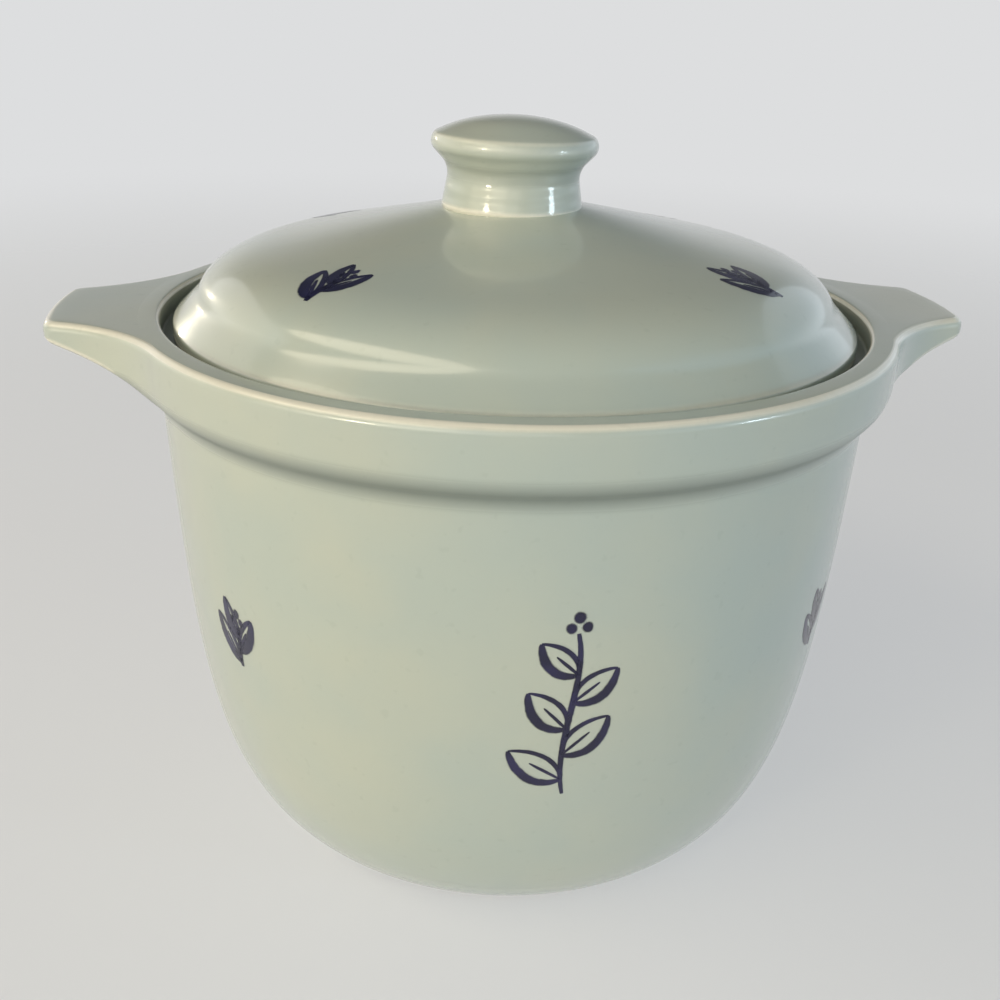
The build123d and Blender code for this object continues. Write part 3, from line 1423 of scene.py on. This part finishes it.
    def _berries(self, tree: ShapeTree, tip: Wire) -> Wire:
        """Dab three berries round the stem's tip.

        Args:
            tree: The tree being built.
            tip: The stem's tip.

        Returns:
            The berries as flat discs.
        """
        berry, fan = tree.given("Berry"), {"fill_type": "TRIANGLE_FAN"}
        sockets = {"Vertices": BERRY_POINTS, "Radius": berry}
        disc = tree.wire("GeometryNodeMeshCircle", fan, sockets)
        spot = tree.wire("GeometryNodeInputPosition")
        disc = tree.store(disc, "across", tree.vector("LENGTH", spot, output=1) / berry)
        dabs = []
        for x, y, scale in BERRIES:
            place = tree.vector("ADD", tip, tree.combine(berry * x, berry * y))
            sockets = {0: disc, "Translation": place, "Scale": (scale, scale * 1.15, 1.0)}
            dabs.append(tree.wire("GeometryNodeTransform", None, sockets))
        return tree.join(dabs)

    def _wrap(self, tree: ShapeTree, flat: Wire) -> Wire:
        """Lay the drawing on its ground.

        Args:
            tree: The tree being built.
            flat: The flat drawing.

        Returns:
            The drawing on the surface, lifted a hair over it.
        """
        sockets: dict[int | str, Any] = {"Object": tree.given("Ground")}
        relative = {"transform_space": "RELATIVE"}
        ground = tree.wire("GeometryNodeObjectInfo", relative, sockets, "Geometry")
        across, up, _ = tree.split(tree.wire("GeometryNodeInputPosition"))
        on_wall = self.face is Face.WALL
        angle = across / ((self.wall_r if on_wall else self.level) * MM) + math.radians(self.azimuth)
        cosine, sine = angle.cosine(), angle.sine()
        radius: Any = BESIDE if on_wall else (self.level + self.height / 2) * MM - up
        height: Any = up + (self.level - self.height / 2) * MM if on_wall else ABOVE
        origin = tree.combine(cosine * radius, sine * radius, height)
        ray: Any = tree.combine(cosine * -1.0, sine * -1.0) if on_wall else (0.0, 0.0, -1.0)
        sockets = {0: ground, "Source Position": origin, "Ray Direction": ray, "Ray Length": 1.0}
        cast = tree.node("GeometryNodeRaycast", None, sockets)
        hit, normal = (Wire(tree, cast.outputs[k]) for k in ("Hit Position", "Hit Normal"))
        place = tree.vector("ADD", hit, tree.vector("MULTIPLY", normal, (INK_LIFT * MM,) * 3))
        return tree.smoothed(tree.moved(flat, place))


@dataclass
class Spray(Sprig):
    """A small spray of three narrow leaves."""

    height: float = 10.5
    leaves: int = 3
    leaf_length: float = 12.8
    leaf_width: float = 2.9
    line: float = 1.2
    sway: float = 0.5
    spread: float = 0.5
    berry: float = 1.1


def paint(body: bpy.types.Object, cover: bpy.types.Object) -> list[bpy.types.Object]:
    """Paint every motif on the pot and its lid.

    Args:
        body: The glazed body.
        cover: The glazed lid.

    Returns:
        The motifs.
    """
    ink = Ink().material()
    motifs = [
        Sprig(f"sprig_{label}", Face.WALL, azimuth, 65.5, body, ink, "pot")
        for label, azimuth in (("front", -88.5), ("back", 91.5))
    ]
    motifs += [
        Spray(f"leaf_pair_{number}", Face.WALL, azimuth, 66.0, body, ink, "pot")
        for number, azimuth in enumerate((-143.5, -36.0, 36.5, 144.0))
    ]
    motifs += [
        Spray(f"lid_leaf_pair_{number}", Face.DOME, azimuth, 60.5, cover, ink, "lid")
        for number, azimuth in enumerate((-137.0, -40.0, 43.0, 140.0))
    ]
    return [motif.build() for motif in motifs]


# ---- studio -----------------------------------------------------------------


WHITE: Colour = (1.0, 1.0, 1.0)
WARM: Colour = (1.0, 0.88, 0.66)
COOL: Colour = (0.43, 0.73, 1.0)
AIM = Vector((0, 0, 0.1))


@dataclass
class Lamp:
    """One lamp, aimed at the pot, placed by its direction and distance."""

    name: str
    azimuth: float
    elevation: float
    distance: float
    size: Point
    power: float
    colour: Colour = WHITE

    def build(self) -> bpy.types.Object:
        """Hang the lamp.

        Returns:
            The lamp's object.
        """
        light = bpy.data.lights.new(self.name, "AREA")
        light.shape = "ELLIPSE"
        light.size, light.size_y = self.size
        light.energy = self.power
        light.color = self.colour
        ray = toward(self.azimuth, self.elevation)
        made = link_object(self.name, light)
        made.location = ray * self.distance + AIM
        made.rotation_euler = (-ray).to_track_quat("-Z", "Y").to_euler()
        return made


LAMPS = (
    Lamp("key_high", -154.0, 45.0, 1.5, (1.9, 0.48), 8.0, WARM),
    Lamp("key_low", -140.0, 14.0, 1.5, (1.8, 0.7), 6.0, WARM),
    Lamp("front", -108.0, 22.0, 1.6, (1.6, 0.9), 4.8, (1.0, 0.96, 0.88)),
    Lamp("fill", -34.0, 18.0, 1.7, (2.6, 1.4), 4.6, COOL),
    Lamp("top", 90.0, 84.0, 2.0, (2.4, 2.0), 0.6),
    Lamp("back_left", 145.0, 20.0, 2.4, (2.8, 1.3), 7.0),
    Lamp("back_right", 30.0, 20.0, 2.4, (2.2, 1.4), 5.0, (0.8, 0.91, 1.0)),
    Lamp("bulb_front", -139.0, 10.0, 1.4, (0.24, 0.09), 3.0, WARM),
    Lamp("bulb_left", 126.0, 9.0, 1.4, (0.07, 0.06), 0.5, WARM),
    Lamp("window", -30.0, 7.0, 1.4, (0.26, 0.14), 2.4, (0.75, 0.9, 1.0)),
)


@dataclass
class Studio:
    """A pale floor that fades into its backdrop, soft lamps and the camera."""

    floor_r: float = 4.0
    rings: int = 24
    spokes: int = 96
    ceiling: Rgba = linear(88, 92, 98)
    shown_fade: Point = (0.08, 0.42)
    low_light: Rgba = (*WHITE, 1.0)
    high_light: Rgba = (0.22, 0.22, 0.22, 1.0)
    light_fade: Point = (0.1, 0.7)
    ambient: float = 0.34
    stand: Colour = (-0.0394, -0.2802, 0.19935)
    view_azimuth: float = 82.458
    view_elevation: float = -23.138
    view_roll: float = 1.693
    lens: float = 43.2
    sensor: float = 36.0

    def floor(self) -> bpy.types.Object:
        """Lay the floor.

        Returns:
            The floor's object.
        """
        radii = [self.floor_r * (k / self.rings) ** 2 for k in range(1, self.rings + 1)]
        turns = [math.tau * j / self.spokes for j in range(self.spokes)]
        verts = [(0.0, 0.0, 0.0)]
        verts += [(r * math.cos(a), r * math.sin(a), 0.0) for r in radii for a in turns]
        pairs = neighbours(self.spokes)
        faces: list[tuple[int, ...]] = [(0, 1 + j, 1 + k) for j, k in pairs]
        faces += [
            (a + j, a + self.spokes + j, a + self.spokes + k, a + k)
            for a in range(1, 1 + (self.rings - 1) * self.spokes, self.spokes)
            for j, k in pairs
        ]
        mesh = bpy.data.meshes.new("studio_floor")
        mesh.from_pydata(verts, [], faces)
        mesh.materials.append(PaleFloor().material())
        made = link_object("studio_floor", mesh)
        return made

    def world(self) -> None:
        """Light the surroundings evenly and show the backdrop behind the pot."""
        world = bpy.data.worlds.new("studio")
        bpy.context.scene.world = world
        world.use_nodes = True
        world.node_tree.nodes.clear()
        g = Graph(world.node_tree)
        height = g.split(g.wire("ShaderNodeTexCoord", output="Generated"))[2]
        shade = g.mix(height.fade(*self.shown_fade), BACKDROP, self.ceiling)
        even = g.mix(height.fade(*self.light_fade), self.low_light, self.high_light)
        shown = g.wire("ShaderNodeBackground", None, {0: shade, 1: 1.0})
        lit = g.wire("ShaderNodeBackground", None, {0: even, 1: self.ambient})
        g.node("ShaderNodeOutputWorld", None, {0: g.blend(g.looked_at(), lit, shown)})

    def camera(self) -> bpy.types.Object:
        """Set up the camera.

        Returns:
            The camera's object.
        """
        ahead = toward(self.view_azimuth, self.view_elevation)
        level = ahead.cross(Vector((0, 0, 1))).normalized()
        upright = level.cross(ahead)
        roll = math.radians(self.view_roll)
        right = level * math.cos(roll) + upright * math.sin(roll)
        above = upright * math.cos(roll) - level * math.sin(roll)
        data = bpy.data.cameras.new("view")
        data.lens, data.sensor_width = self.lens, self.sensor
        data.clip_start, data.clip_end = 0.01, 50.0
        made = link_object("view", data)
        turn = Matrix((right, above, -ahead)).transposed().to_4x4()
        made.matrix_world = Matrix.Translation(self.stand) @ turn
        bpy.context.scene.camera = made
        return made

    def build(self) -> None:
        """Set up the whole studio."""
        self.floor()
        self.world()
        for lamp in LAMPS:
            lamp.build()
        self.camera()
        bpy.context.scene.view_settings.view_transform = "Standard"


def report(pieces: Iterable[bpy.types.Object]) -> None:
    """Log each piece with its number of faces."""
    for piece in pieces:
        log.info("%s: %d faces", piece.name, len(piece.data.polygons))


def main() -> None:
    """Build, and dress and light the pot."""
    logging.basicConfig(level=logging.INFO, format="%(name)s %(message)s")
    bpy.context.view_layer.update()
    glaze = Glaze().material()
    pot = Pot(glaze).build()
    report(pot)
    lid = Lid(glaze).build()
    report(lid)
    report(paint(pot[0], lid[0]))
    Studio().build()


if __name__ == "__main__":
    main()
